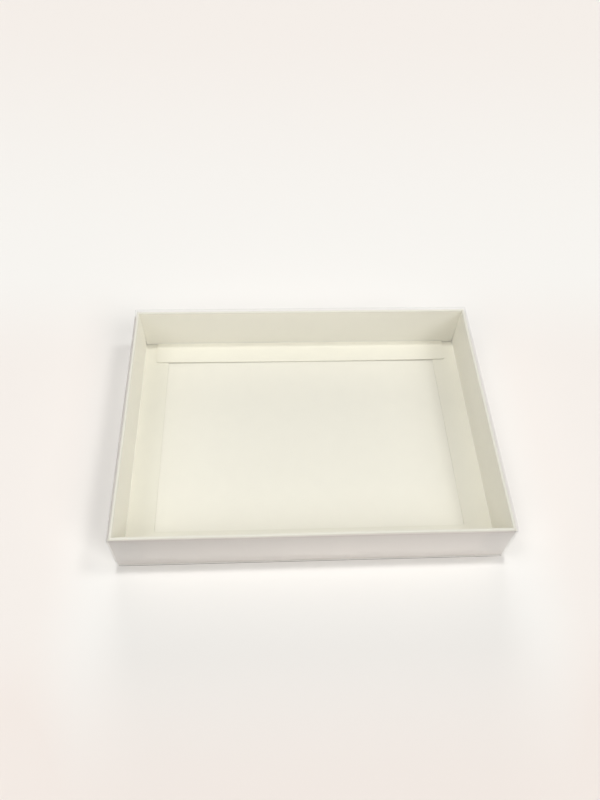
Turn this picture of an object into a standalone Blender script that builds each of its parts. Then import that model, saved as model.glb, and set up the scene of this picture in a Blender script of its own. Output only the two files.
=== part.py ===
"""A presentation box: a folded white card tray with rolled double walls, under a clear acetate lid.

Each panel is drawn flat, as it is cut from its sheet, then turned up at its crease.
Metres, +Z up, origin at the centre of the underside.
"""
import bmesh
import bpy
from math import cos, pi, radians, sin

# The closed box, over the lid
BOX_WIDTH = 0.200
BOX_DEPTH = 0.150
BOX_HEIGHT = 0.030

# The sheets
CARD = 0.0005
ACETATE = 0.0003
SEAT_GAP = 0.0003

# The tray
RIM_WIDTH = 0.0021
RIM_EDGE_RADIUS = 0.0002
FLAP_DEPTH = 0.0145
FLAP_CORNER_RADIUS = 0.0015
UPPER_FLAP_END_INSET = 0.007
LOWER_FLAP_END_INSET = 0.001
CORNER_TAB_LENGTH = 0.025
CORNER_TAB_TAPER = 0.004

# The lid
LID_SIDE_FIT = 0.0005
LID_TABLE_GAP = 0.001
LID_TAB_LENGTH = 0.014
LID_TAB_TAPER = 0.003
SKIRT_CORNER_RADIUS = 0.003

ARC_STEPS = 6
BEVEL_STEPS = 2
QUARTER_TURN = radians(90)

# Sizes that follow
LID_FRONT_FIT = ACETATE + SEAT_GAP + SEAT_GAP
TRAY_WIDTH = BOX_WIDTH - (ACETATE + LID_SIDE_FIT) * 2
TRAY_DEPTH = BOX_DEPTH - (ACETATE + LID_FRONT_FIT) * 2
TRAY_HEIGHT = BOX_HEIGHT - ACETATE - SEAT_GAP
RIM_UNDERSIDE = TRAY_HEIGHT - CARD
WALL_TOP = RIM_UNDERSIDE - SEAT_GAP
LOWER_FLAP_LEVEL = CARD + SEAT_GAP
UPPER_FLAP_LEVEL = LOWER_FLAP_LEVEL + CARD + SEAT_GAP
SKIRT_TOP = BOX_HEIGHT - ACETATE - SEAT_GAP

# Linear colours of the card and the acetate, how matt they are, and how much the acetate hides
CARD_INSIDE_COLOUR = (0.84, 0.81, 0.70)
CARD_OUTSIDE_COLOUR = (0.82, 0.79, 0.74)
CARD_EDGE_COLOUR = (0.86, 0.84, 0.76)
CARD_ROUGHNESS = 0.7
ACETATE_COLOUR = (0.93, 0.95, 0.95)
ACETATE_ROUGHNESS = 0.12
ACETATE_ALPHA = 0.15

# The sides, each a quarter turn about +Z from the one before, with the names of its low and high ends.
# The front and back sides are the even ones
SIDES = (
    ("front", "left", "right"),
    ("right", "front", "back"),
    ("back", "right", "left"),
    ("left", "back", "front"),
)


def remove_objects():
    for item in list(bpy.data.objects):
        bpy.data.objects.remove(item, do_unlink=True)


def make_material(name, colour, roughness, alpha):
    material = bpy.data.materials.new(name)
    material.use_nodes = True
    shader = material.node_tree.nodes["Principled BSDF"]
    shader.inputs["Base Color"].default_value = (*colour, 1)
    shader.inputs["Roughness"].default_value = roughness
    shader.inputs["Metallic"].default_value = 0
    shader.inputs["Alpha"].default_value = alpha
    return material


def card_material(name, colour):
    return make_material(name, colour, CARD_ROUGHNESS, 1)


def acetate_material(name):
    return make_material(name, ACETATE_COLOUR, ACETATE_ROUGHNESS, ACETATE_ALPHA)


def add_empty(name, parent, turn):
    empty = bpy.data.objects.new(name, None)
    bpy.context.scene.collection.objects.link(empty)
    empty.parent = parent
    empty.rotation_euler = (0, 0, turn)
    return empty


def arc(centre_x, centre_y, radius, start):
    """A quarter round, anticlockwise from the start angle."""
    points = []
    for step in range(ARC_STEPS + 1):
        angle = start + QUARTER_TURN * step / ARC_STEPS
        points.append((centre_x + radius * cos(angle), centre_y + radius * sin(angle)))
    return points


def corner(x, y, radius, start, inward_x, inward_y):
    if not radius:
        return [(x, y)]
    return arc(x + inward_x * radius, y + inward_y * radius, radius, start)


def rectangle(half_length, low, high, low_radius, high_radius):
    """An outline, anticlockwise, with its own corner radius along each long edge."""
    return [
        *corner(-half_length, low, low_radius, pi, 1, 1),
        *corner(half_length, low, low_radius, pi + QUARTER_TURN, -1, 1),
        *corner(half_length, high, high_radius, 0, -1, -1),
        *corner(-half_length, high, high_radius, QUARTER_TURN, 1, -1),
    ]


def trapezium(low_half, high_half, low, high):
    return [(-low_half, low), (low_half, low), (high_half, high), (-high_half, high)]


def tab_outline(crease, length, low, high, taper):
    """A tab that runs from its crease towards the middle of a wall, tapered at its free end."""
    towards_middle = -1 if crease > 0 else 1
    tip = crease + towards_middle * length
    outline = [(crease, low), (tip, low + taper), (tip, high - taper), (crease, high)]
    return outline if towards_middle > 0 else outline[::-1]


def add_panel(name, outline, thickness, sunk, material, parent, location, tilt):
    """Cuts a panel from its sheet, then places it. sunk is how far its lower face lies under its origin."""
    mesh = bpy.data.meshes.new(name)
    builder = bmesh.new()
    corners = [builder.verts.new((x, y, -sunk)) for x, y in outline]
    face = builder.faces.new(corners)
    grown = bmesh.ops.extrude_face_region(builder, geom=[face])
    raised = [item for item in grown["geom"] if isinstance(item, bmesh.types.BMVert)]
    bmesh.ops.translate(builder, vec=(0, 0, thickness), verts=raised)
    bmesh.ops.recalc_face_normals(builder, faces=builder.faces)
    builder.to_mesh(mesh)
    builder.free()
    mesh.materials.append(material)
    panel = bpy.data.objects.new(name, mesh)
    bpy.context.scene.collection.objects.link(panel)
    panel.parent = parent
    panel.location = location
    panel.rotation_euler = (tilt, 0, 0)
    return panel


def round_edges(panel, width):
    bevel = panel.modifiers.new("rounded fold", "BEVEL")
    bevel.width = width
    bevel.segments = BEVEL_STEPS
    bevel.limit_method = "ANGLE"


def half_sizes(turns, width, depth):
    """Half the length of a side's wall, and how far its outer face stands from the middle."""
    if turns % 2:
        return depth / 2, width / 2
    return width / 2, depth / 2


# The tray's base panel
def add_base(tray):
    half_width = TRAY_WIDTH / 2 - CARD - SEAT_GAP
    half_depth = TRAY_DEPTH / 2 - CARD - SEAT_GAP
    outline = rectangle(half_width, -half_depth, half_depth, 0, 0)
    material = card_material("base_panel card", CARD_INSIDE_COLOUR)
    add_panel("base_panel", outline, CARD, 0, material, tray, (0, 0, 0), 0)


# The outer ply of a wall. The front and back ones close the corners, the others stand between them
def add_outer_wall(side, turns, frame):
    half_length, outer_face = half_sizes(turns, TRAY_WIDTH, TRAY_DEPTH)
    if turns % 2:
        half_length -= CARD + SEAT_GAP
    name = f"{side}_outer_wall"
    outline = rectangle(half_length, 0, WALL_TOP, 0, 0)
    material = card_material(f"{name} card", CARD_OUTSIDE_COLOUR)
    add_panel(name, outline, CARD, 0, material, frame, (0, CARD - outer_face, 0), QUARTER_TURN)


# The narrow strip between the two folds at the top of a wall, mitred at its ends
def add_rim(side, turns, frame):
    half_length, outer_face = half_sizes(turns, TRAY_WIDTH, TRAY_DEPTH)
    outer_half = half_length - SEAT_GAP
    name = f"{side}_rim_strip"
    outline = trapezium(outer_half, outer_half - RIM_WIDTH, -outer_face, RIM_WIDTH - outer_face)
    material = card_material(f"{name} card", CARD_EDGE_COLOUR)
    rim = add_panel(name, outline, CARD, 0, material, frame, (0, 0, RIM_UNDERSIDE), 0)
    round_edges(rim, RIM_EDGE_RADIUS)


# The inner ply of a wall. The side ones are rolled in first, the front and back ones close against them
def add_inner_wall(side, turns, frame):
    half_length, outer_face = half_sizes(turns, TRAY_WIDTH, TRAY_DEPTH)
    inner_face = outer_face - RIM_WIDTH
    if turns % 2:
        half_length -= (CARD + SEAT_GAP) * 2
        foot = LOWER_FLAP_LEVEL
    else:
        half_length -= RIM_WIDTH + SEAT_GAP
        foot = UPPER_FLAP_LEVEL
    name = f"{side}_inner_wall"
    outline = rectangle(half_length, foot, WALL_TOP, 0, 0)
    material = card_material(f"{name} card", CARD_INSIDE_COLOUR)
    add_panel(name, outline, CARD, 0, material, frame, (0, -inner_face, 0), QUARTER_TURN)


# The flap at the foot of an inner wall. Its origin is on its crease
def add_floor_flap(side, turns, frame):
    half_length, outer_face = half_sizes(turns, TRAY_WIDTH, TRAY_DEPTH)
    crease = outer_face - RIM_WIDTH - SEAT_GAP
    if turns % 2:
        half_length -= RIM_WIDTH + LOWER_FLAP_END_INSET
        level = LOWER_FLAP_LEVEL
    else:
        half_length -= RIM_WIDTH + UPPER_FLAP_END_INSET
        level = UPPER_FLAP_LEVEL
    name = f"{side}_floor_flap"
    outline = rectangle(half_length, 0, FLAP_DEPTH, 0, FLAP_CORNER_RADIUS)
    material = card_material(f"{name} card", CARD_INSIDE_COLOUR)
    add_panel(name, outline, CARD, CARD / 2, material, frame, (0, -crease, level + CARD / 2), 0)


# The glue tabs of the side walls, folded in between the plies of the front and back walls
def add_corner_tabs(side, turns, frame, low_end, high_end):
    half_length, outer_face = half_sizes(turns, TRAY_WIDTH, TRAY_DEPTH)
    crease = half_length - CARD - SEAT_GAP
    outside = outer_face - CARD - SEAT_GAP
    for end, place in ((low_end, -crease), (high_end, crease)):
        name = f"{side}_{end}_corner_tab"
        outline = tab_outline(place, CORNER_TAB_LENGTH, LOWER_FLAP_LEVEL, WALL_TOP, CORNER_TAB_TAPER)
        material = card_material(f"{name} card", CARD_INSIDE_COLOUR)
        add_panel(name, outline, CARD, 0, material, frame, (0, CARD - outside, 0), QUARTER_TURN)


# The lid's top panel
def add_lid_top(lid):
    outline = rectangle(BOX_WIDTH / 2, -BOX_DEPTH / 2, BOX_DEPTH / 2, 0, 0)
    material = acetate_material("lid_top acetate")
    add_panel("lid_top", outline, ACETATE, 0, material, lid, (0, 0, BOX_HEIGHT - ACETATE), 0)


# The lid's four skirts, which hang from the top panel's creases with rounded lower corners
def add_skirt(side, turns, frame):
    half_length, outer_face = half_sizes(turns, BOX_WIDTH, BOX_DEPTH)
    if turns % 2:
        half_length -= ACETATE + SEAT_GAP
    name = f"lid_{side}_skirt"
    outline = rectangle(half_length, LID_TABLE_GAP, SKIRT_TOP, SKIRT_CORNER_RADIUS, 0)
    material = acetate_material(f"{name} acetate")
    add_panel(name, outline, ACETATE, 0, material, frame, (0, ACETATE - outer_face, 0), QUARTER_TURN)


# The lid's glue tabs, folded in behind its front and back skirts
def add_lid_tabs(side, turns, frame, low_end, high_end):
    half_length, outer_face = half_sizes(turns, BOX_WIDTH, BOX_DEPTH)
    crease = half_length - ACETATE - SEAT_GAP
    outside = outer_face - ACETATE - SEAT_GAP
    low = LID_TABLE_GAP + SKIRT_CORNER_RADIUS
    for end, place in ((low_end, -crease), (high_end, crease)):
        name = f"lid_{side}_{end}_tab"
        outline = tab_outline(place, LID_TAB_LENGTH, low, SKIRT_TOP, LID_TAB_TAPER)
        material = acetate_material(f"{name} acetate")
        add_panel(name, outline, ACETATE, 0, material, frame, (0, ACETATE - outside, 0), QUARTER_TURN)


def add_tray():
    tray = add_empty("tray", None, 0)
    add_base(tray)
    for turns, (side, low_end, high_end) in enumerate(SIDES):
        frame = add_empty(f"tray_{side}", tray, QUARTER_TURN * turns)
        add_outer_wall(side, turns, frame)
        add_rim(side, turns, frame)
        add_inner_wall(side, turns, frame)
        add_floor_flap(side, turns, frame)
        if turns % 2 == 0:
            add_corner_tabs(side, turns, frame, low_end, high_end)


def add_lid():
    lid = add_empty("lid", None, 0)
    add_lid_top(lid)
    for turns, (side, low_end, high_end) in enumerate(SIDES):
        frame = add_empty(f"lid_{side}", lid, QUARTER_TURN * turns)
        add_skirt(side, turns, frame)
        if turns % 2 == 0:
            add_lid_tabs(side, turns, frame, low_end, high_end)


remove_objects()
add_tray()
add_lid()
bpy.context.view_layer.update()
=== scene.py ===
"""The looks of a folded white card tray under its clear acetate lid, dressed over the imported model.

The sections follow the box as it is put together: the base panel, the four walls folded up from it, the
tabs, rims and inner plies rolled over them, the flaps on the floor, then the lid, and last the table, the
lamps and the camera. Metres, +Z up, origin at the centre of the underside.
"""
from math import atan2, cos, pi, radians, sin, sqrt

import bmesh
import bpy
from mathutils import Matrix, Vector, noise


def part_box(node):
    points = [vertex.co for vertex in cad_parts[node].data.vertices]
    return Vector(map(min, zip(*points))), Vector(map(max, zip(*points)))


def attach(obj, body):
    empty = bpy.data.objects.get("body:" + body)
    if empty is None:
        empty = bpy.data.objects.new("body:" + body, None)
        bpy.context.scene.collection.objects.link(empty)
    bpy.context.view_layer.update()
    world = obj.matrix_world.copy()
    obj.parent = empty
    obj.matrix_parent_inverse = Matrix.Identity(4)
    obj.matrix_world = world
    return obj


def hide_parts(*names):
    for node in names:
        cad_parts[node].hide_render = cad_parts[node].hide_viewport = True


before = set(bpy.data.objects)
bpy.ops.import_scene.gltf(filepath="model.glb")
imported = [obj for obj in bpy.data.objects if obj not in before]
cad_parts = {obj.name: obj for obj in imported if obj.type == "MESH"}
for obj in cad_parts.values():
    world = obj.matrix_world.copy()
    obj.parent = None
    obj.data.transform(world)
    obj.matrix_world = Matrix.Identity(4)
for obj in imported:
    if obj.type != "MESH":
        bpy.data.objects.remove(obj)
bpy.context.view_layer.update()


# The base panel
# The middle of the tray's blank: white folding card, half a millimetre thick, creased on its four edges.
# Its finish, a matt board with a faint fibre grain, is that of the whole tray. It is painted paler towards
# the front, a painted light against the front wall's shade.
CARD = 0.0005
FOLD_RADIUS = 0.00045
tray_low, tray_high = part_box("front_outer_wall")
TRAY_HALF_WIDTH = tray_high.x
TRAY_HALF_DEPTH = -tray_low.y
PANEL_ROW_STEP = 0.006
PANEL_COLUMNS = 32
SHARP_EDGE = radians(50)
BASE_COLOUR = (0.842, 0.819, 0.719)
CUT_COLOUR = (0.84, 0.815, 0.73)
FRONT_PAINTED_LIGHT = 0.06
PAINTED_LIGHT_START = 0.375
PAINTED_LIGHT_RISE = 2.4
CARD_ROUGHNESS = 0.62
ROUGHNESS_CHANGE = 0.25
MOTTLE_SIZE = 0.009
MOTTLE_DETAIL = 3
GRAIN_SIZE = 0.00055
GRAIN_DETAIL = 4
NOISE_MIDDLE = 0.5
SPECKLE = 0.05
CLOUD_HEIGHT = 2
CARD_BUMP_DEPTH = 0.00003
CARD_BUMP_STRENGTH = 0.35


def link(tree, source, target):
    tree.links.new(source, target)


def add_node(tree, kind, **values):
    node = tree.nodes.new(kind)
    for name, value in values.items():
        setattr(node, name, value)
    return node


def noise_layer(tree, coordinates, size, detail):
    """A noise whose blobs are about as wide as size."""
    layer = add_node(tree, "ShaderNodeTexNoise")
    layer.inputs["Scale"].default_value = 1 / size
    layer.inputs["Detail"].default_value = detail
    link(tree, coordinates, layer.inputs["Vector"])
    return layer.outputs["Fac"]


def math_node(tree, operation, first, second):
    node = add_node(tree, "ShaderNodeMath", operation=operation)
    for socket, value in zip(node.inputs, (first, second)):
        if isinstance(value, bpy.types.NodeSocket):
            link(tree, value, socket)
        else:
            socket.default_value = value
    return node.outputs["Value"]


def make_card_group():
    """Fibre grain, cloudy mottle and paler folds, which every card surface carries, with the painted shade
    and painted light that each piece gives its vertices. The paler folds are wear, and on the inner plies
    painted light as well.
    """
    group = bpy.data.node_groups.new("card fibre and painted shade", "ShaderNodeTree")
    face = group.interface
    face.new_socket("Colour", in_out="INPUT", socket_type="NodeSocketColor")
    for name in ("Mottle", "Fold wear and light", "Roughness"):
        face.new_socket(name, in_out="INPUT", socket_type="NodeSocketFloat")
    face.new_socket("Colour", in_out="OUTPUT", socket_type="NodeSocketColor")
    for name in ("Roughness", "Height"):
        face.new_socket(name, in_out="OUTPUT", socket_type="NodeSocketFloat")
    given = add_node(group, "NodeGroupInput")
    result = add_node(group, "NodeGroupOutput")
    place = add_node(group, "ShaderNodeTexCoord").outputs["Object"]
    cloud = noise_layer(group, place, MOTTLE_SIZE, MOTTLE_DETAIL)
    fibre = noise_layer(group, place, GRAIN_SIZE, GRAIN_DETAIL)
    fold = add_node(group, "ShaderNodeAttribute", attribute_name="fold").outputs["Fac"]
    painted_shade = add_node(group, "ShaderNodeAttribute", attribute_name="painted_shade").outputs["Fac"]

    def swing(source, amount):
        """How far a noise is from its middle, times the amount."""
        return math_node(group, "MULTIPLY", math_node(group, "SUBTRACT", source, NOISE_MIDDLE), amount)

    grain = math_node(group, "ADD", swing(cloud, given.outputs["Mottle"]), swing(fibre, SPECKLE))
    pale_folds = math_node(group, "MULTIPLY", fold, given.outputs["Fold wear and light"])
    lift = math_node(group, "ADD", grain, math_node(group, "SUBTRACT", pale_folds, painted_shade))
    tint = add_node(group, "ShaderNodeHueSaturation")
    link(group, math_node(group, "ADD", lift, 1), tint.inputs["Value"])
    link(group, given.outputs["Colour"], tint.inputs["Color"])
    link(group, tint.outputs["Color"], result.inputs["Colour"])
    roughness = math_node(group, "ADD", given.outputs["Roughness"], swing(fibre, ROUGHNESS_CHANGE))
    link(group, roughness, result.inputs["Roughness"])
    height = math_node(group, "ADD", fibre, math_node(group, "MULTIPLY", cloud, CLOUD_HEIGHT))
    link(group, height, result.inputs["Height"])
    return group


card_group = make_card_group()


def card_material(name, colour, mottle, fold_wear_and_light):
    """White card in one of its colours, with so much mottle, and so much paler on its folds: wear, and on
    the inner plies painted light too.
    """
    material = bpy.data.materials.new(name)
    material.use_nodes = True
    tree = material.node_tree
    shader = tree.nodes["Principled BSDF"]
    fibre = add_node(tree, "ShaderNodeGroup", node_tree=card_group)
    fibre.inputs["Colour"].default_value = (*colour, 1)
    fibre.inputs["Mottle"].default_value = mottle
    fibre.inputs["Fold wear and light"].default_value = fold_wear_and_light
    fibre.inputs["Roughness"].default_value = CARD_ROUGHNESS
    link(tree, fibre.outputs["Colour"], shader.inputs["Base Color"])
    link(tree, fibre.outputs["Roughness"], shader.inputs["Roughness"])
    bump = add_node(tree, "ShaderNodeBump")
    bump.inputs["Strength"].default_value = CARD_BUMP_STRENGTH
    bump.inputs["Distance"].default_value = CARD_BUMP_DEPTH
    link(tree, fibre.outputs["Height"], bump.inputs["Height"])
    link(tree, bump.outputs["Normal"], shader.inputs["Normal"])
    return material


base_card = card_material("white card, back of the sheet", BASE_COLOUR, mottle=0.035, fold_wear_and_light=0)
cut_card = card_material("white card, cut edge", CUT_COLOUR, mottle=0.06, fold_wear_and_light=0)


def kept_share(value):
    """The value, kept between 0 and 1."""
    return min(max(value, 0), 1)


def spread(low, high, count):
    return [low + (high - low) * step / count for step in range(count + 1)]


def split_rows(rows, longest):
    """Splits the straight stretches into parts about as long as asked."""
    dense = [rows[0]]
    for here, after in zip(rows, rows[1:]):
        length = sqrt((after[0] - here[0]) ** 2 + (after[1] - here[1]) ** 2)
        parts = max(1, round(length / longest))
        for part in range(1, parts + 1):
            share = part / parts
            dense.append(tuple(a + (b - a) * share for a, b in zip(here, after)))
    return dense


def beside(row, offset):
    """A point of a section, so far to the side of its row."""
    return row[0] + row[2] * offset, row[1] + row[3] * offset


def even(row, along):
    """No painted shade or painted light anywhere on the sheet."""
    return 0.0


def sheet_mesh(name, rows, thickness, stations, place, materials, painted_shade=even):
    """A closed sheet along a section, whose rows are (p, q, normal p, normal q, fold). Its middle runs
    through each row's point (p, q), and fold says how much that row is bent, from 0 to 1. stations(row)
    lists where the columns stand at that row, and place(row, offset, along) gives a point in the box.
    The faces of the cut edges take the second material. The shade function gives how much darker the sheet
    is painted at a place, as a share of its colour: painted shade above nothing, painted light below it."""
    mesh = bpy.data.meshes.new(name)
    builder = bmesh.new()
    fold_layer = builder.verts.layers.float.new("fold")
    painted_shade_layer = builder.verts.layers.float.new("painted_shade")
    layers = []
    for offset in (-thickness / 2, thickness / 2):
        grid = []
        for row in rows:
            line = []
            for along in stations(row):
                vertex = builder.verts.new(place(row, offset, along))
                vertex[fold_layer] = row[4]
                vertex[painted_shade_layer] = painted_shade(row, along)
                line.append(vertex)
            grid.append(line)
        layers.append(grid)
    last_row = len(rows) - 1
    columns = len(layers[0][0]) - 1
    for grid in layers:
        for i in range(last_row):
            for j in range(columns):
                builder.faces.new((grid[i][j], grid[i][j + 1], grid[i + 1][j + 1], grid[i + 1][j]))
    below, above = layers
    edge = [(0, j, 0, j + 1) for j in range(columns)]
    edge += [(i, columns, i + 1, columns) for i in range(last_row)]
    edge += [(last_row, j + 1, last_row, j) for j in reversed(range(columns))]
    edge += [(i + 1, 0, i, 0) for i in reversed(range(last_row))]
    for i, j, k, m in edge:
        face = builder.faces.new((below[i][j], below[k][m], above[k][m], above[i][j]))
        face.material_index = 1
    bmesh.ops.recalc_face_normals(builder, faces=builder.faces)
    builder.to_mesh(mesh)
    builder.free()
    mesh.shade_smooth()
    mesh.set_sharp_from_angle(angle=SHARP_EDGE)
    for material in materials:
        mesh.materials.append(material)
    piece = bpy.data.objects.new(name, mesh)
    bpy.context.scene.collection.objects.link(piece)
    return piece


def flat_sheet(name, half_width, half_depth, level, thickness, materials, painted_shade=even):
    """A level panel, whose rows follow each other from front to back."""
    rows = split_rows([(-half_depth, level, 0, 1, 0), (half_depth, level, 0, 1, 0)], PANEL_ROW_STEP)

    def stations(row):
        return spread(-half_width, half_width, PANEL_COLUMNS)

    def place(row, offset, along):
        return Vector((along, *beside(row, offset)))

    return sheet_mesh(name, rows, thickness, stations, place, materials, painted_shade)


def dress(piece, node, body):
    """Puts a finished piece in the place of its node, on the body that carries it."""
    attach(piece, body)
    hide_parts(node)


base_half_width = TRAY_HALF_WIDTH - CARD / 2 - FOLD_RADIUS
base_half_depth = TRAY_HALF_DEPTH - CARD / 2 - FOLD_RADIUS


def base_painted_light(row, along):
    """Painted light: paler from some way in front of the middle, and fully so a little behind the front
    edge.
    """
    frontward = -row[0] / base_half_depth
    return -FRONT_PAINTED_LIGHT * kept_share((frontward - PAINTED_LIGHT_START) * PAINTED_LIGHT_RISE)


base = flat_sheet(
    "base_panel_card", base_half_width, base_half_depth, CARD / 2, CARD, (base_card, cut_card), base_painted_light,
)
dress(base, "base_panel", "tray")


# The outer plies of the walls
# Folded up from the base panel. The front and back ones run past the side ones and show their cut ends.
# The front of the sheet is outside here, as on the rims, inner plies and flaps. Its colour is pinker and
# darker than that of the inner plies and flaps, and the darkness is painted shade.
SIDES = ("front", "right", "back", "left")
TRAY_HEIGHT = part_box("front_rim_strip")[1].z
FOLD_STEPS = 6
WALL_ROW_STEP = 0.0011
WALL_COLUMNS = 60
SEAT_GAP = 0.0003
SECOND_SHEET = 1.5
OUTER_BELLY = 0.00035
BELLY_WAVE = 0.05
BELLY_SEED = 3.1
BELLY_LAYER = 5
LEAN = 0.00018
LEAN_WAVE = 0.055
LEAN_SEED = 7.3
STEADY_LEAN = 0.9
CORNER_POWER = 6
SHADED_OUTSIDE_COLOUR = (0.790, 0.737, 0.692)
# Sizes of the painted shade and painted light on the outer walls.
RIM_PAINTED_SHADE = 0.28
PAINTED_SHADE_OFFSET = 0.14
LEFT_PAINTED_SHADE = 0.15
PAINTED_FOOT_HEIGHT = 0.006
FOOT_PAINTED_LIGHT = 0.06
PAINTED_TOP_DEPTH = 0.003
FRONT_TOP_PAINTED_LIGHT = 0.28
OTHER_TOP_PAINTED_LIGHT = 0.2
OTHER_SIDES_PAINTED_SHARE = 0.5
wall_line = CARD / 2
rim_line = TRAY_HEIGHT - CARD / 2
fold_top = rim_line - FOLD_RADIUS
outside_card = card_material("white card, outside", SHADED_OUTSIDE_COLOUR, mottle=0.04, fold_wear_and_light=0.02)


def half_length(turns):
    return TRAY_HALF_DEPTH if turns % 2 else TRAY_HALF_WIDTH


def outer_face(turns):
    """How far a side's outer face is from the middle of the box."""
    return TRAY_HALF_WIDTH if turns % 2 else TRAY_HALF_DEPTH


def turned(turns, x, y, z):
    """A point of the front side, carried round to the side that is so many quarter turns away."""
    for _ in range(turns):
        x, y = -y, x
    return Vector((x, y, z))


def swung(arrow, angle):
    """An arrow in the plane of a section, swung by the angle."""
    first = arrow.x * cos(angle) - arrow.y * sin(angle)
    second = arrow.x * sin(angle) + arrow.y * cos(angle)
    return Vector((first, second))


def bend_path(corners, radii, first_cut=False, last_cut=False):
    """Rows of a section that runs through the corners, with each inner one rounded. With a cut, it starts
    or ends where the rounding of its first or last inner corner does."""
    rows = []
    for index in range(1, len(corners) - 1):
        before, here, after = (Vector(corners[index + step]) for step in (-1, 0, 1))
        into = (here - before).normalized()
        out = (after - here).normalized()
        turn = 1 if into.x * out.y - into.y * out.x > 0 else -1
        radius = radii[index - 1]
        start = here - into * radius
        centre = start + Vector((-into.y, into.x)) * turn * radius
        for step in range(FOLD_STEPS + 1):
            angle = pi / 2 * step / FOLD_STEPS * turn
            point = centre + swung(start - centre, angle)
            along = swung(into, angle)
            rows.append((point.x, point.y, -along.y, along.x, sin(pi * step / FOLD_STEPS)))
    if not first_cut:
        first, second = Vector(corners[0]), Vector(corners[1])
        along = (second - first).normalized()
        rows.insert(0, (first.x, first.y, -along.y, along.x, 0.0))
    if not last_cut:
        last, previous = Vector(corners[-1]), Vector(corners[-2])
        along = (last - previous).normalized()
        rows.append((last.x, last.y, -along.y, along.x, 0.0))
    return rows


def wave(along, length, seed, layer=0):
    """A smooth change along a piece, in swells about as long as length. Each seed and layer has its own."""
    return noise.noise(Vector((along / length, seed, layer)))


def lean(turns, along, height):
    """How far a wall leans in at a place along it: nothing at its foot and at its ends, most at the rim."""
    off_corner = max(1 - (abs(along) / half_length(turns)) ** CORNER_POWER, 0)
    amount = STEADY_LEAN + wave(along, LEAN_WAVE, turns * LEAN_SEED)
    return LEAN * amount * off_corner * (height / TRAY_HEIGHT) ** 2


def belly(turns, along, height, depth, foot):
    """How far a wall swells into the box between its foot and its rim."""
    rise = kept_share((height - foot) / (TRAY_HEIGHT - foot))
    return depth * sin(pi * rise) * (1 + wave(along, BELLY_WAVE, turns * BELLY_SEED, BELLY_LAYER))


def wall_place(turns, depth, foot):
    """Puts a point of a wall's section, (distance in from the outer face, height), into the box."""

    def place(row, offset, along):
        inward, height = beside(row, offset)
        inward += lean(turns, along, height) + belly(turns, along, height, depth, foot)
        return turned(turns, along, inward - outer_face(turns), height)

    return place


def outer_painted_shade(turns, height, along):
    """Painted shade and painted light on an outer wall: darker towards the rim and most at the front left,
    painted paler along its foot and where it starts to roll over. The front carries all of it; the other
    walls take half of the darkening and less of the paler roll."""
    painted_grey = RIM_PAINTED_SHADE * height / TRAY_HEIGHT - PAINTED_SHADE_OFFSET
    roll = kept_share(1 - (fold_top - height) / PAINTED_TOP_DEPTH)
    if SIDES[turns] != "front":
        return OTHER_SIDES_PAINTED_SHARE * (painted_grey - OTHER_TOP_PAINTED_LIGHT * roll)
    left = max(-along / half_length(turns), 0)
    foot = max(1 - height / PAINTED_FOOT_HEIGHT, 0)
    return painted_grey + LEFT_PAINTED_SHADE * left - FOOT_PAINTED_LIGHT * foot - FRONT_TOP_PAINTED_LIGHT * roll


for turns, side in enumerate(SIDES):
    corners = [(wall_line + FOLD_RADIUS, CARD / 2), (wall_line, CARD / 2), (wall_line, fold_top)]
    rows = split_rows(bend_path(corners, [FOLD_RADIUS], first_cut=True), WALL_ROW_STEP)
    full = half_length(turns)
    if turns % 2:
        full -= CARD * SECOND_SHEET + SEAT_GAP + FOLD_RADIUS
    foot_half = min(full, half_length(turns) - CARD / 2 - FOLD_RADIUS)

    def wall_stations(row):
        half = foot_half if row[1] < FOLD_RADIUS / 2 else full
        return spread(-half, half, WALL_COLUMNS)

    def wall_painted_shade(row, along):
        return outer_painted_shade(turns, row[1], along)

    wall = sheet_mesh(
        f"{side}_outer_wall_card", rows, CARD, wall_stations, wall_place(turns, OUTER_BELLY, CARD),
        (outside_card, cut_card), wall_painted_shade,
    )
    dress(wall, f"{side}_outer_wall", "tray")


# The glue tabs of the tray's corners
# The ends of the side walls, folded through the corner and glued behind the front and back walls.
# Only the fold shows, in the groove beside the raw end of the front or back wall. A corner is listed as
# the quarter turns of the wall that it is glued to, its own name, and the hand of that wall's end.
CORNERS = ((0, "left", -1), (0, "right", 1), (2, "right", -1), (2, "left", 1))
TAB_TAPER = 0.004
TAB_ROW_STEP = 0.003
TAB_COLUMNS = 8
GLUE_LINE = 0.00005
tab_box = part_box("front_left_corner_tab")
TAB_LENGTH = tab_box[1].x - tab_box[0].x
tab_low, tab_high = tab_box[0].z, tab_box[1].z
tab_line = CARD * SECOND_SHEET + GLUE_LINE
side_wall_line = TRAY_HALF_WIDTH - CARD / 2
tab_start = side_wall_line - FOLD_RADIUS


def tab_stations(row):
    taper = TAB_TAPER * kept_share((tab_start - row[0]) / TAB_LENGTH)
    return spread(tab_low + taper, tab_high - taper, TAB_COLUMNS)


for turns, end, hand in CORNERS:
    corners = [
        (side_wall_line, tab_line + FOLD_RADIUS),
        (side_wall_line, tab_line),
        (side_wall_line - TAB_LENGTH, tab_line),
    ]
    rows = split_rows(bend_path(corners, [FOLD_RADIUS], first_cut=True), TAB_ROW_STEP)

    def tab_place(row, offset, height):
        across, inward = beside(row, offset)
        along = across * hand
        inward += lean(turns, along, height) + belly(turns, along, height, OUTER_BELLY, CARD)
        return turned(turns, along, inward - outer_face(turns), height)

    tab_name = f"{SIDES[turns]}_{end}_corner_tab"
    tab = sheet_mesh(f"{tab_name}_card", rows, CARD, tab_stations, tab_place, (outside_card, cut_card))
    dress(tab, tab_name, "tray")


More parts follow.
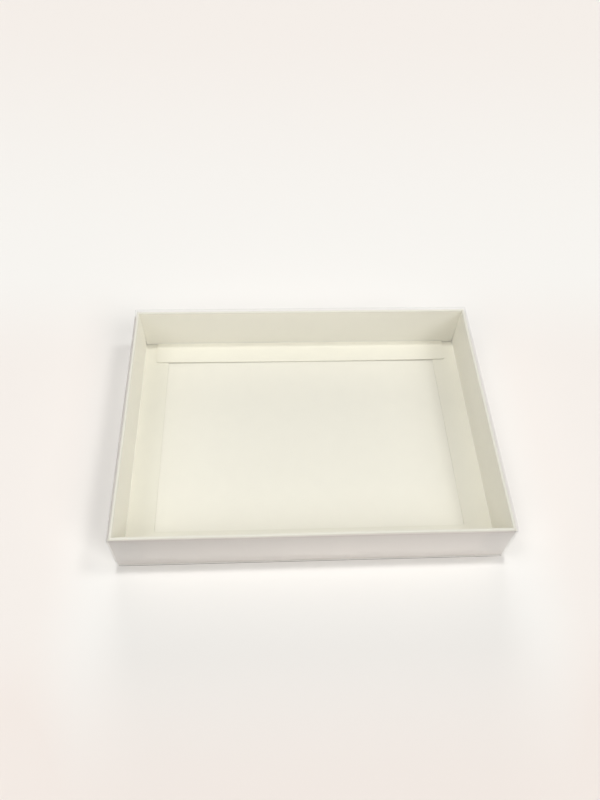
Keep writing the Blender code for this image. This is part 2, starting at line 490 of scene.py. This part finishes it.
# The rims
# The sheet rolled over at the top of each wall. The roll is narrower than the wall's foot, so it is nearly
# round. Its ends are cut to a mitre where two rims meet. The front and back ones are painted paler, a
# painted light that fades towards their right ends.
MITRE_GAP = 0.00012
ROLL_WIDTH = 0.0016
RIM_ROW_STEP = 0.0005
# The rim's colour is darker than the inner plies', though it shows the same face of the sheet: painted
# shade.
SHADED_RIM_COLOUR = (0.775, 0.753, 0.665)
RIM_PAINTED_LIGHT = {"front": 0.07, "right": 0, "back": 0.05, "left": 0}
RIGHTWARD_FADE = 0.7
roll_line = ROLL_WIDTH - CARD / 2
rim_card = card_material("white card, rim", SHADED_RIM_COLOUR, mottle=0.03, fold_wear_and_light=0.02)

for turns, side in enumerate(SIDES):
    corners = [
        (wall_line, fold_top), (wall_line, rim_line), (roll_line, rim_line), (roll_line, fold_top),
    ]
    section = bend_path(corners, [FOLD_RADIUS, FOLD_RADIUS], first_cut=True, last_cut=True)
    rows = split_rows(section, RIM_ROW_STEP)

    def rim_stations(row):
        half = half_length(turns) - row[0] - MITRE_GAP
        return spread(-half, half, WALL_COLUMNS)

    def rim_painted_light(row, along):
        return -RIM_PAINTED_LIGHT[side] * min(1 - RIGHTWARD_FADE * along / half_length(turns), 1)

    rim = sheet_mesh(
        f"{side}_rim_card", rows, CARD, rim_stations, wall_place(turns, 0, CARD),
        (rim_card, cut_card), rim_painted_light,
    )
    dress(rim, f"{side}_rim_strip", "tray")


# The inner plies
# Rolled over the rim and down inside, the side ones first. They spread from the narrow roll to the foot,
# belly a little, and turn into the floor flaps there. Beyond a flap's ends the ply is cut free and hangs.
RIM_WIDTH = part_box("front_inner_wall")[1].y + TRAY_HALF_DEPTH
LOWER_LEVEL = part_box("left_floor_flap")[0].z
UPPER_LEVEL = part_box("front_floor_flap")[0].z
INNER_ROW_STEP = 0.003
INNER_COLUMNS = 54
FREE_END_COLUMNS = 3
INNER_BELLY = 0.00032
FREE_END_DROP = 0.00032
HANGING_SHARE = 0.9
SIDE_FLAP_STRETCH = 0.0008
SLIT = CARD / 4
CORNER_CLOSING = 0.0002
# The inner plies are coloured paler than the flaps, though both show the front of the sheet: painted light.
LIT_INSIDE_COLOUR = (0.886, 0.864, 0.778)
# Painted shade and painted light on each inner ply, as a share of its colour.
INSIDE_PAINTED_SHADE = {"front": 0, "right": 0.01, "back": 0, "left": -0.02}
BACK_PAINTED_SHADE = 0.105
BACK_EVEN_HEIGHT = 0.4
inner_line = RIM_WIDTH - CARD / 2
crease = RIM_WIDTH + SEAT_GAP
foot_radius = crease - inner_line
# Its foot fold is paler than wear alone makes it: painted light in the shade of that crease.
inside_card = card_material("white card, inside", LIT_INSIDE_COLOUR, mottle=0.035, fold_wear_and_light=0.08)


def flap_half(turns):
    """Half the length of a floor flap. The side flaps reach to the foot of the front and back plies."""
    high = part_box(f"{SIDES[turns]}_floor_flap")[1]
    return high.y + SIDE_FLAP_STRETCH if turns % 2 else high.x


for turns, side in enumerate(SIDES):
    level = LOWER_LEVEL if turns % 2 else UPPER_LEVEL
    foot_line = level + CARD / 2
    foot_top = foot_line + foot_radius
    corners = [(inner_line, fold_top), (inner_line, foot_line), (inner_line + foot_radius, foot_line)]
    rows = split_rows(bend_path(corners, [foot_radius], last_cut=True), INNER_ROW_STEP)
    if turns % 2:
        full = half_length(turns) - (CARD + SEAT_GAP) * 2
    else:
        full = half_length(turns) - RIM_WIDTH - SEAT_GAP
    foot_half = flap_half(turns)
    bent = spread(-foot_half, foot_half, INNER_COLUMNS)

    def draw(height):
        """How far the ply is drawn out of the box towards the roll."""
        return (RIM_WIDTH - ROLL_WIDTH) * kept_share((height - foot_line) / (fold_top - foot_line))

    def inner_stations(row):
        closing = CORNER_CLOSING * (row[1] / TRAY_HEIGHT) ** 2
        end = full if turns % 2 else full + draw(row[1]) + closing
        free_end = spread(foot_half + SLIT, end, FREE_END_COLUMNS)
        return [-along for along in reversed(free_end)] + bent + free_end

    def inner_place(row, offset, along):
        """Past the slit, the rows that round the foot hang straight down instead."""
        inward, height = beside(row, offset)
        if abs(along) > foot_half + SLIT / 2 and row[1] < foot_top:
            bend = atan2(row[3], row[2])
            inward = inner_line + offset
            height = foot_top - (foot_radius * HANGING_SHARE + FREE_END_DROP * 2 / pi) * bend
        swell = belly(turns, along, height, INNER_BELLY, foot_line)
        inward += lean(turns, along, height) + swell - draw(height)
        return turned(turns, along, inward - outer_face(turns), height)

    def inner_painted_shade(row, along):
        """Painted shade and painted light: the right ply a little darker and the left paler, and the back
        ply darker at its foot and paler at its rim.
        """
        change = BACK_PAINTED_SHADE * (BACK_EVEN_HEIGHT - row[1] / TRAY_HEIGHT) if side == "back" else 0
        return INSIDE_PAINTED_SHADE[side] + change

    inner = sheet_mesh(
        f"{side}_inner_wall_card", rows, CARD, inner_stations, inner_place,
        (inside_card, cut_card), inner_painted_shade,
    )
    dress(inner, f"{side}_inner_wall", "tray")


# The floor flaps
# The feet of the inner plies. The side ones are pressed on the base panel. The front and back ones, folded
# last, rest on them at both ends and sag between them, so a dark gap shows beside the side flaps.
side_flap_low, side_flap_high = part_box("left_floor_flap")
FLAP_DEPTH = side_flap_high.x - side_flap_low.x
FLAP_ROW_STEP = 0.0012
FLAP_COLUMNS = 72
CORNER_RADIUS = 0.0015
SIDE_FLAP_SETTLE = 0.00027
SETTLE_AT_ENDS = 0.25
PRESS_PAST_EDGE = 0.002
PRESS_FADE = 0.012
SIDE_RIPPLE = 0.1
SIDE_RIPPLE_LENGTH = 0.03
SIDE_RIPPLE_SEED = 2.2
UPPER_FLAP_END_DROP = 0.0002
UPPER_FLAP_SAG = 0.00052
UPPER_RIPPLE = 0.00006
UPPER_RIPPLE_LENGTH = 0.04
UPPER_RIPPLE_SEED = 9.4
FLAP_COLOUR = (0.836, 0.814, 0.702)
# The back flap is painted paler along its crease, a painted light against the shadow that the back wall
# casts there.
CREASE_PAINTED_LIGHT = {"front": 0, "right": 0, "back": 0.18, "left": 0}
PAINTED_LIGHT_WIDTH = 0.005
free_edge = crease + FLAP_DEPTH
rounding = free_edge - CORNER_RADIUS
side_flap_reach = TRAY_HALF_WIDTH - free_edge
upper_flap_edge = TRAY_HALF_DEPTH - free_edge
flap_card = card_material("white card, flap", FLAP_COLOUR, mottle=0.035, fold_wear_and_light=0.02)


def rounded_steps(radius):
    """How far each row of a rounded corner lies past the corner's start."""
    return [radius * sin(pi / 2 * step / FOLD_STEPS) for step in range(1, FOLD_STEPS + 1)]


def rounded_half(full, radius, past):
    """Half the length of a row that lies so far past the start of the sheet's rounded corners."""
    return full - radius + sqrt(max(radius ** 2 - max(past, 0) ** 2, 0))


def side_flap_drop(along, share):
    """A side flap's free edge is pressed down along its middle, and less at its ends."""
    pressed = kept_share((upper_flap_edge + PRESS_PAST_EDGE - abs(along)) / PRESS_FADE)
    ripple = 1 - SIDE_RIPPLE + SIDE_RIPPLE * wave(along, SIDE_RIPPLE_LENGTH, SIDE_RIPPLE_SEED)
    return -SIDE_FLAP_SETTLE * share * ripple * (SETTLE_AT_ENDS + (1 - SETTLE_AT_ENDS) * pressed)


def upper_flap_drop(along, share):
    """An upper flap rests on the side flaps at its ends and sags between them."""
    between = max(1 - (along / side_flap_reach) ** 2, 0)
    ripple = UPPER_RIPPLE * wave(along, UPPER_RIPPLE_LENGTH, UPPER_RIPPLE_SEED)
    return (ripple - UPPER_FLAP_END_DROP - UPPER_FLAP_SAG * between) * share


for turns, side in enumerate(SIDES):
    level = LOWER_LEVEL if turns % 2 else UPPER_LEVEL
    drop = side_flap_drop if turns % 2 else upper_flap_drop
    full = flap_half(turns)
    flat = level + CARD / 2
    rows = split_rows([(crease, flat, 0, 1, 0.0), (rounding, flat, 0, 1, 0.0)], FLAP_ROW_STEP)
    rows += [(rounding + past, flat, 0, 1, 0.0) for past in rounded_steps(CORNER_RADIUS)]

    def flap_stations(row):
        half = rounded_half(full, CORNER_RADIUS, row[0] - rounding)
        return spread(-half, half, FLAP_COLUMNS)

    def flap_place(row, offset, along):
        inward, height = beside(row, offset)
        height += drop(along, (inward - crease) / FLAP_DEPTH)
        return turned(turns, along, inward - outer_face(turns), height)

    # Painted light along the crease.
    def flap_painted_light(row, along):
        return -CREASE_PAINTED_LIGHT[side] * max(1 - (row[0] - crease) / PAINTED_LIGHT_WIDTH, 0)

    flap = sheet_mesh(
        f"{side}_floor_flap_card", rows, CARD, flap_stations, flap_place,
        (flap_card, cut_card), flap_painted_light,
    )
    body = "tray" if turns % 2 else f"{side}_flap"
    dress(flap, f"{side}_floor_flap", body)


# The lid's window and skirts
# One sheet of clear glossy acetate, 0.3 mm thick, with its skirts turned down on pressed creases. The folds
# are faintly milky; the left one is painted grey, a painted shade along that side. The cut foot of each
# skirt is a real cut edge coloured dark, a painted shade that shows as a thin dark line along the foot.
lid_low, lid_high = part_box("lid_top")
ACETATE = lid_high.z - lid_low.z
LID_HALF_WIDTH = lid_high.x
LID_HALF_DEPTH = lid_high.y
LID_HEIGHT = lid_high.z
SKIRT_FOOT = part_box("lid_front_skirt")[0].z
SKIRT_CORNER = 0.003
SKIRT_ROW_STEP = 0.004
SKIRT_COLUMNS = 40
LID_FOLD_RADIUS = 0.00035
FOLD_SHOWS = 0.2
FOOT_FACING = -0.8
ACETATE_IOR = 1.49
SHEET_MIRRORING = 1.8
CLEAR_COLOUR = (0.97, 0.975, 0.97)
FOLD_COLOUR = (0.90, 0.90, 0.88)
# The left fold's grey is painted shade.
SHADED_FOLD_COLOUR = (0.56, 0.56, 0.54)
EDGE_COLOUR = (0.88, 0.89, 0.87)
# The cut foot is a real cut edge, coloured dark as a painted shade at the skirt's foot.
SHADED_FOOT_COLOUR = (0.36, 0.34, 0.33)
skirt_line = ACETATE / 2
top_line = LID_HEIGHT - ACETATE / 2
corner_start = SKIRT_FOOT + SKIRT_CORNER


def acetate_material(name, colour, roughness, least_alpha, mirroring=SHEET_MIRRORING, cut=False):
    """A clear sheet that mirrors by Fresnel, times mirroring, and lets the rest straight through, apart from
    the share least_alpha, which shows from any angle. Only the faces turned to the eye mirror, for both
    sides of the sheet at once. A cut edge also shows through the sheet."""
    material = bpy.data.materials.new(name)
    material.use_nodes = True
    tree = material.node_tree
    shader = tree.nodes["Principled BSDF"]
    shader.inputs["Base Color"].default_value = (*colour, 1)
    shader.inputs["Metallic"].default_value = 1
    shader.inputs["Roughness"].default_value = roughness
    mirror = add_node(tree, "ShaderNodeFresnel")
    mirror.inputs["IOR"].default_value = ACETATE_IOR
    facing_away = add_node(tree, "ShaderNodeNewGeometry").outputs["Backfacing"]
    both_sides = math_node(tree, "MULTIPLY", mirror.outputs["Fac"], mirroring)
    seen = math_node(tree, "ADD", both_sides, least_alpha)
    if not cut:
        seen = math_node(tree, "MULTIPLY", seen, math_node(tree, "SUBTRACT", 1, facing_away))
    link(tree, math_node(tree, "MINIMUM", seen, 1), shader.inputs["Alpha"])
    return material


clear_acetate = acetate_material("clear acetate", CLEAR_COLOUR, roughness=0.06, least_alpha=0.006)
fold_acetate = acetate_material(
    "folded acetate", FOLD_COLOUR, roughness=0.3, least_alpha=0.04, mirroring=0.9,
)
shaded_fold_acetate = acetate_material(
    "folded acetate, painted shade", SHADED_FOLD_COLOUR, roughness=0.4, least_alpha=0.06, mirroring=1.2,
)
cut_acetate = acetate_material(
    "cut acetate edge", EDGE_COLOUR, roughness=0.25, least_alpha=0.07, mirroring=0.9,
)
# The dark foot is painted shade along the skirt's cut edge.
shaded_foot_acetate = acetate_material("cut acetate foot, painted shade", SHADED_FOOT_COLOUR, roughness=0.5, least_alpha=0.5, cut=True)


def lid_half(turns):
    return LID_HALF_DEPTH if turns % 2 else LID_HALF_WIDTH


def lid_face(turns):
    """How far a skirt's outer face is from the middle of the box."""
    return LID_HALF_WIDTH if turns % 2 else LID_HALF_DEPTH


def mark_faces(piece):
    """Gives the faces of a skirt's fold the third material, and those of its cut foot the fourth."""
    mesh = piece.data
    fold = mesh.attributes["fold"].data
    for face in mesh.polygons:
        most_bent = max(fold[corner].value for corner in face.vertices)
        if face.material_index == 0 and most_bent > FOLD_SHOWS:
            face.material_index = 2
        if face.material_index == 1 and face.normal.z < FOOT_FACING:
            face.material_index = 3


top_half_width = LID_HALF_WIDTH - ACETATE / 2 - LID_FOLD_RADIUS
top_half_depth = LID_HALF_DEPTH - ACETATE / 2 - LID_FOLD_RADIUS
top = flat_sheet(
    "lid_top_acetate", top_half_width, top_half_depth, top_line, ACETATE, (clear_acetate, cut_acetate),
)
dress(top, "lid_top", "lid")

for turns, side in enumerate(SIDES):
    corners = [(skirt_line + LID_FOLD_RADIUS, top_line), (skirt_line, top_line), (skirt_line, corner_start)]
    rows = split_rows(bend_path(corners, [LID_FOLD_RADIUS], first_cut=True), SKIRT_ROW_STEP)
    upright = rows[-1][2:]
    rows += [(skirt_line, corner_start - past, *upright) for past in rounded_steps(SKIRT_CORNER)]
    full = lid_half(turns)
    fold_half = full - ACETATE / 2 - LID_FOLD_RADIUS
    if turns % 2:
        full -= ACETATE + SEAT_GAP

    def skirt_stations(row):
        half = rounded_half(full, SKIRT_CORNER, corner_start - row[1])
        if row[1] > top_line - LID_FOLD_RADIUS / 2:
            half = fold_half
        return spread(-half, half, SKIRT_COLUMNS)

    def skirt_place(row, offset, along):
        inward, height = beside(row, offset)
        return turned(turns, along, inward - lid_face(turns), height)

    # The left fold takes the painted shade.
    fold_finish = shaded_fold_acetate if side == "left" else fold_acetate
    skirt = sheet_mesh(
        f"lid_{side}_skirt_acetate", rows, ACETATE, skirt_stations, skirt_place,
        (clear_acetate, cut_acetate, fold_finish, shaded_foot_acetate),
    )
    mark_faces(skirt)
    dress(skirt, f"lid_{side}_skirt", "lid")


# The scores in the lid's folds
# The creases of the acetate were pressed with a toothed rule, which leaves a row of fine scores along each
# fold. Each score is a thin rod sunk in the fold, one after each pitch, and none stands at a corner.
SCORE_PITCH = 0.0011
SCORE_LENGTH = 0.0006
SHORTEST_SCORE = 0.7
LONGEST_SCORE = 1.1
SCORE_RADIUS = 0.00006
SCORE_SIDES = 6
SCORE_SINK = 0.00003
SCORE_SEED = 4
FOLD_LINE_CUTS = 400
fold_inset = (LID_FOLD_RADIUS + ACETATE / 2) * (1 - cos(pi / 4)) + SCORE_SINK


def make_score_tree():
    """Fine rods set out along a rectangle, one after each pitch, with a little change of length."""
    tree = bpy.data.node_groups.new("crease scores", "GeometryNodeTree")
    face = tree.interface
    face.new_socket("Geometry", in_out="INPUT", socket_type="NodeSocketGeometry")
    for name in ("Width", "Depth", "Height", "Pitch", "Score length", "Score radius"):
        face.new_socket(name, in_out="INPUT", socket_type="NodeSocketFloat")
    face.new_socket("Seed", in_out="INPUT", socket_type="NodeSocketInt")
    face.new_socket("Material", in_out="INPUT", socket_type="NodeSocketMaterial")
    face.new_socket("Geometry", in_out="OUTPUT", socket_type="NodeSocketGeometry")
    given = add_node(tree, "NodeGroupInput")
    result = add_node(tree, "NodeGroupOutput")

    fold_line = add_node(tree, "GeometryNodeCurvePrimitiveQuadrilateral")
    link(tree, given.outputs["Width"], fold_line.inputs["Width"])
    link(tree, given.outputs["Depth"], fold_line.inputs["Height"])
    stepped = add_node(tree, "GeometryNodeSubdivideCurve")
    stepped.inputs["Cuts"].default_value = FOLD_LINE_CUTS
    link(tree, fold_line.outputs["Curve"], stepped.inputs["Curve"])
    raised = add_node(tree, "GeometryNodeTransform")
    level = add_node(tree, "ShaderNodeCombineXYZ")
    link(tree, given.outputs["Height"], level.inputs["Z"])
    link(tree, stepped.outputs["Curve"], raised.inputs["Geometry"])
    link(tree, level.outputs["Vector"], raised.inputs["Translation"])
    stations = add_node(tree, "GeometryNodeCurveToPoints", mode="LENGTH")
    link(tree, raised.outputs["Geometry"], stations.inputs["Curve"])
    link(tree, given.outputs["Pitch"], stations.inputs["Length"])

    rod = add_node(tree, "GeometryNodeMeshCylinder")
    rod.inputs["Vertices"].default_value = SCORE_SIDES
    link(tree, given.outputs["Score radius"], rod.inputs["Radius"])
    link(tree, given.outputs["Score length"], rod.inputs["Depth"])
    heading = add_node(tree, "FunctionNodeAlignRotationToVector", axis="Z")
    link(tree, stations.outputs["Tangent"], heading.inputs["Vector"])
    change = add_node(tree, "FunctionNodeRandomValue", data_type="FLOAT")
    low, high, seed = (
        next(s for s in change.inputs if s.name == name and s.enabled) for name in ("Min", "Max", "Seed")
    )
    low.default_value = SHORTEST_SCORE
    high.default_value = LONGEST_SCORE
    link(tree, given.outputs["Seed"], seed)
    scale = add_node(tree, "ShaderNodeCombineXYZ")
    scale.inputs["X"].default_value = 1
    scale.inputs["Y"].default_value = 1
    link(tree, next(s for s in change.outputs if s.enabled), scale.inputs["Z"])

    spot = add_node(tree, "ShaderNodeSeparateXYZ")
    link(tree, add_node(tree, "GeometryNodeInputPosition").outputs["Position"], spot.inputs["Vector"])
    across = math_node(tree, "ABSOLUTE", spot.outputs["X"], 0)
    back = math_node(tree, "ABSOLUTE", spot.outputs["Y"], 0)
    reach = math_node(tree, "ADD", across, back)
    both_sizes = math_node(tree, "ADD", given.outputs["Width"], given.outputs["Depth"])
    corner_reach = math_node(tree, "MULTIPLY", both_sizes, 0.5)
    to_corner = math_node(tree, "SUBTRACT", corner_reach, reach)
    off_corner = math_node(tree, "GREATER_THAN", to_corner, given.outputs["Score length"])

    rods = add_node(tree, "GeometryNodeInstanceOnPoints")
    link(tree, stations.outputs["Points"], rods.inputs["Points"])
    link(tree, off_corner, rods.inputs["Selection"])
    link(tree, rod.outputs["Mesh"], rods.inputs["Instance"])
    link(tree, heading.outputs["Rotation"], rods.inputs["Rotation"])
    link(tree, scale.outputs["Vector"], rods.inputs["Scale"])
    real = add_node(tree, "GeometryNodeRealizeInstances")
    link(tree, rods.outputs["Instances"], real.inputs["Geometry"])
    finish = add_node(tree, "GeometryNodeSetMaterial")
    link(tree, real.outputs["Geometry"], finish.inputs["Geometry"])
    link(tree, given.outputs["Material"], finish.inputs["Material"])
    link(tree, finish.outputs["Geometry"], result.inputs["Geometry"])
    return tree


score_tree = make_score_tree()
score_carrier = bpy.data.objects.new("score carrier", bpy.data.meshes.new("score carrier"))
bpy.context.scene.collection.objects.link(score_carrier)
row_of_scores = score_carrier.modifiers.new("crease scores", "NODES")
row_of_scores.node_group = score_tree
score_sizes = {
    "Width": (LID_HALF_WIDTH - fold_inset) * 2,
    "Depth": (LID_HALF_DEPTH - fold_inset) * 2,
    "Height": LID_HEIGHT - fold_inset,
    "Pitch": SCORE_PITCH,
    "Score length": SCORE_LENGTH,
    "Score radius": SCORE_RADIUS,
    "Seed": SCORE_SEED,
    "Material": fold_acetate,
}
for socket in score_tree.interface.items_tree:
    if socket.in_out == "INPUT" and socket.name in score_sizes:
        row_of_scores[socket.identifier] = score_sizes[socket.name]
evaluated = score_carrier.evaluated_get(bpy.context.evaluated_depsgraph_get())
score_mesh = bpy.data.meshes.new_from_object(evaluated)
scores = bpy.data.objects.new("lid_crease_scores", score_mesh)
bpy.context.scene.collection.objects.link(scores)
bpy.data.objects.remove(score_carrier, do_unlink=True)
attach(scores, "lid")


# The glue tabs of the lid's corners
# Ends of the side skirts, of the same clear sheet, turned in behind the front and back skirts and glued
# there. The glue wets the two faces together, so a tab mirrors little and shows mostly by its cut edges.
LID_TAB_TAPER = 0.003
LID_TAB_ROW_STEP = 0.003
LID_TAB_COLUMNS = 6
GLUED_EDGE_COLOUR = (0.80, 0.81, 0.79)
lid_tab_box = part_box("lid_front_left_tab")
LID_TAB_LENGTH = lid_tab_box[1].x - lid_tab_box[0].x
lid_tab_low, lid_tab_high = lid_tab_box[0].z, lid_tab_box[1].z
lid_tab_start = LID_HALF_WIDTH - ACETATE - SEAT_GAP
lid_tab_line = ACETATE * SECOND_SHEET + SEAT_GAP
bonded_acetate = acetate_material(
    "glued acetate", CLEAR_COLOUR, roughness=0.06, least_alpha=0, mirroring=0.6,
)
glued_acetate = acetate_material(
    "glued acetate edge", GLUED_EDGE_COLOUR, roughness=0.25, least_alpha=0.04, mirroring=0.6,
)


def lid_tab_stations(row):
    taper = LID_TAB_TAPER * (lid_tab_start - row[0]) / LID_TAB_LENGTH
    return spread(lid_tab_low + taper, lid_tab_high - taper, LID_TAB_COLUMNS)


for turns, end, hand in CORNERS:
    lid_tab_end = lid_tab_start - LID_TAB_LENGTH
    rows = [(lid_tab_start, lid_tab_line, 0, 1, 0), (lid_tab_end, lid_tab_line, 0, 1, 0)]
    rows = split_rows(rows, LID_TAB_ROW_STEP)

    def lid_tab_place(row, offset, height):
        across, inward = beside(row, offset)
        return turned(turns, across * hand, inward - lid_face(turns), height)

    tab_name = f"lid_{SIDES[turns]}_{end}_tab"
    tab = sheet_mesh(
        f"{tab_name}_acetate", rows, ACETATE, lid_tab_stations, lid_tab_place,
        (bonded_acetate, glued_acetate),
    )
    dress(tab, tab_name, "lid")


# The table
# A plain pale table top with a matt coat. It is painted palest round the box, and warmer and darker in front
# of it, beside it and far behind it: a painted pool of light round the box.
TABLE_HALF = 3.0
TABLE_LIT_COLOUR = (0.893, 0.874, 0.838)
TABLE_SHADED_COLOUR = (0.862, 0.794, 0.744)
TABLE_ROUGHNESS = 0.8
TABLE_GLOSS = 0.2

table_mesh = bpy.data.meshes.new("table")
table_corners = [(TABLE_HALF * x, TABLE_HALF * y, 0) for x, y in ((-1, -1), (1, -1), (1, 1), (-1, 1))]
table_mesh.from_pydata(table_corners, [], [(0, 1, 2, 3)])
table = bpy.data.objects.new("table", table_mesh)
bpy.context.scene.collection.objects.link(table)
table_material = bpy.data.materials.new("pale table")
table_material.use_nodes = True
table_tree = table_material.node_tree
table_shader = table_tree.nodes["Principled BSDF"]
table_shader.inputs["Roughness"].default_value = TABLE_ROUGHNESS
table_shader.inputs["Specular IOR Level"].default_value = TABLE_GLOSS
table_place = add_node(table_tree, "ShaderNodeSeparateXYZ")
link(table_tree, add_node(table_tree, "ShaderNodeTexCoord").outputs["Object"], table_place.inputs["Vector"])


def fade(source, start, end, amount):
    """Rises smoothly from nothing at start to amount at end."""
    ramp = add_node(table_tree, "ShaderNodeMapRange", interpolation_type="SMOOTHSTEP")
    for name, value in (("From Min", start), ("From Max", end), ("To Min", 0), ("To Max", amount)):
        ramp.inputs[name].default_value = value
    link(table_tree, source, ramp.inputs["Value"])
    return ramp.outputs["Result"]


backward = table_place.outputs["Y"]
sideways = math_node(table_tree, "ABSOLUTE", table_place.outputs["X"], 0)
front_fade = fade(backward, start=-0.10, end=-0.19, amount=1)
back_fade = fade(backward, start=0.13, end=0.50, amount=0.6)
beside_box = fade(backward, start=0.14, end=0.05, amount=1)
side_fade = math_node(
    table_tree, "MULTIPLY", fade(sideways, start=0.105, end=0.14, amount=0.6), beside_box,
)
painted_shade_share = math_node(table_tree, "ADD", math_node(table_tree, "ADD", front_fade, back_fade), side_fade)
table_painted_light = add_node(table_tree, "ShaderNodeMix", data_type="RGBA")
for socket in table_painted_light.inputs:
    if socket.type == "RGBA":
        socket.default_value = (*(TABLE_LIT_COLOUR if socket.name == "A" else TABLE_SHADED_COLOUR), 1)
link(table_tree, painted_shade_share, table_painted_light.inputs[0])
tinted = next(socket for socket in table_painted_light.outputs if socket.type == "RGBA")
link(table_tree, tinted, table_shader.inputs["Base Color"])
table_mesh.materials.append(table_material)


# The lamps and the sky
# Soft lamps stand all round and overhead, as in a bright room. The strongest comes low from the back, and
# the nearly overhead one draws the thin shadow at the front foot. The eye and the lid see a bright sky.
SKY_COLOUR = (1, 0.985, 0.97)
SKY_LIGHT = 0.05
SKY_SEEN = 0.92


def add_sun(name, strength, width, tilt, heading):
    """A lamp tilt degrees from overhead, on the heading's side of the box: 0 right, 90 back, all in
    degrees. It lights the box but leaves no bright disc in the lid, as if it stood behind a wide cloth."""
    data = bpy.data.lights.new(name, "SUN")
    data.energy = strength
    data.angle = radians(width)
    lamp = bpy.data.objects.new(name, data)
    bpy.context.scene.collection.objects.link(lamp)
    lamp.rotation_euler = (0, radians(tilt), radians(heading))
    lamp.visible_glossy = False


add_sun("low back lamp", strength=1.200, width=30, tilt=72, heading=90)
add_sun("overhead lamp", strength=0.836, width=5, tilt=7, heading=90)
add_sun("front right lamp", strength=1.074, width=30, tilt=50, heading=315)
add_sun("front left lamp", strength=0.539, width=30, tilt=50, heading=225)
add_sun("left lamp", strength=0.538, width=22, tilt=25, heading=180)
add_sun("right lamp", strength=0.486, width=11, tilt=34, heading=10)

world = bpy.data.worlds.new("sky")
bpy.context.scene.world = world
world.use_nodes = True
sky = world.node_tree
background = sky.nodes["Background"]
path = add_node(sky, "ShaderNodeLightPath")
looked_at = math_node(sky, "MAXIMUM", path.outputs["Is Camera Ray"], path.outputs["Is Glossy Ray"])
looked_at = math_node(sky, "MAXIMUM", looked_at, path.outputs["Is Transmission Ray"])
sky_level = math_node(sky, "ADD", math_node(sky, "MULTIPLY", looked_at, SKY_SEEN - SKY_LIGHT), SKY_LIGHT)
background.inputs["Color"].default_value = (*SKY_COLOUR, 1)
link(sky, sky_level, background.inputs["Strength"])


# The camera
# A phone held over the front of the table, looking steeply down at the box. Its place, its angles and its
# lens were fitted to the box's corners in the photograph.
FOCAL_PIXELS = 702.0
PHOTO_HEIGHT = 800
SENSOR = 36
CAMERA_PLACE = (-0.0228, -0.2183, 0.3421)
CAMERA_YAW = radians(-4.77)
CAMERA_DOWN = radians(54.16)
CAMERA_ROLL = radians(2.99)
NEAREST_SEEN = 0.01

camera_data = bpy.data.cameras.new("camera")
camera_data.sensor_width = SENSOR
camera_data.lens = FOCAL_PIXELS * SENSOR / PHOTO_HEIGHT
camera_data.clip_start = NEAREST_SEEN
camera = bpy.data.objects.new("camera", camera_data)
bpy.context.scene.collection.objects.link(camera)
camera.location = CAMERA_PLACE
level_right = Vector((cos(CAMERA_YAW), sin(CAMERA_YAW), 0))
ahead = Vector((
    -sin(CAMERA_YAW) * cos(CAMERA_DOWN),
    cos(CAMERA_YAW) * cos(CAMERA_DOWN),
    -sin(CAMERA_DOWN),
))
upward = level_right.cross(ahead)
rolled_right = level_right * cos(CAMERA_ROLL) + upward * sin(CAMERA_ROLL)
rolled_up = upward * cos(CAMERA_ROLL) - level_right * sin(CAMERA_ROLL)
camera.rotation_euler = Matrix((rolled_right, rolled_up, -ahead)).transposed().to_euler()
bpy.context.scene.camera = camera
bpy.context.scene.view_settings.view_transform = "Standard"
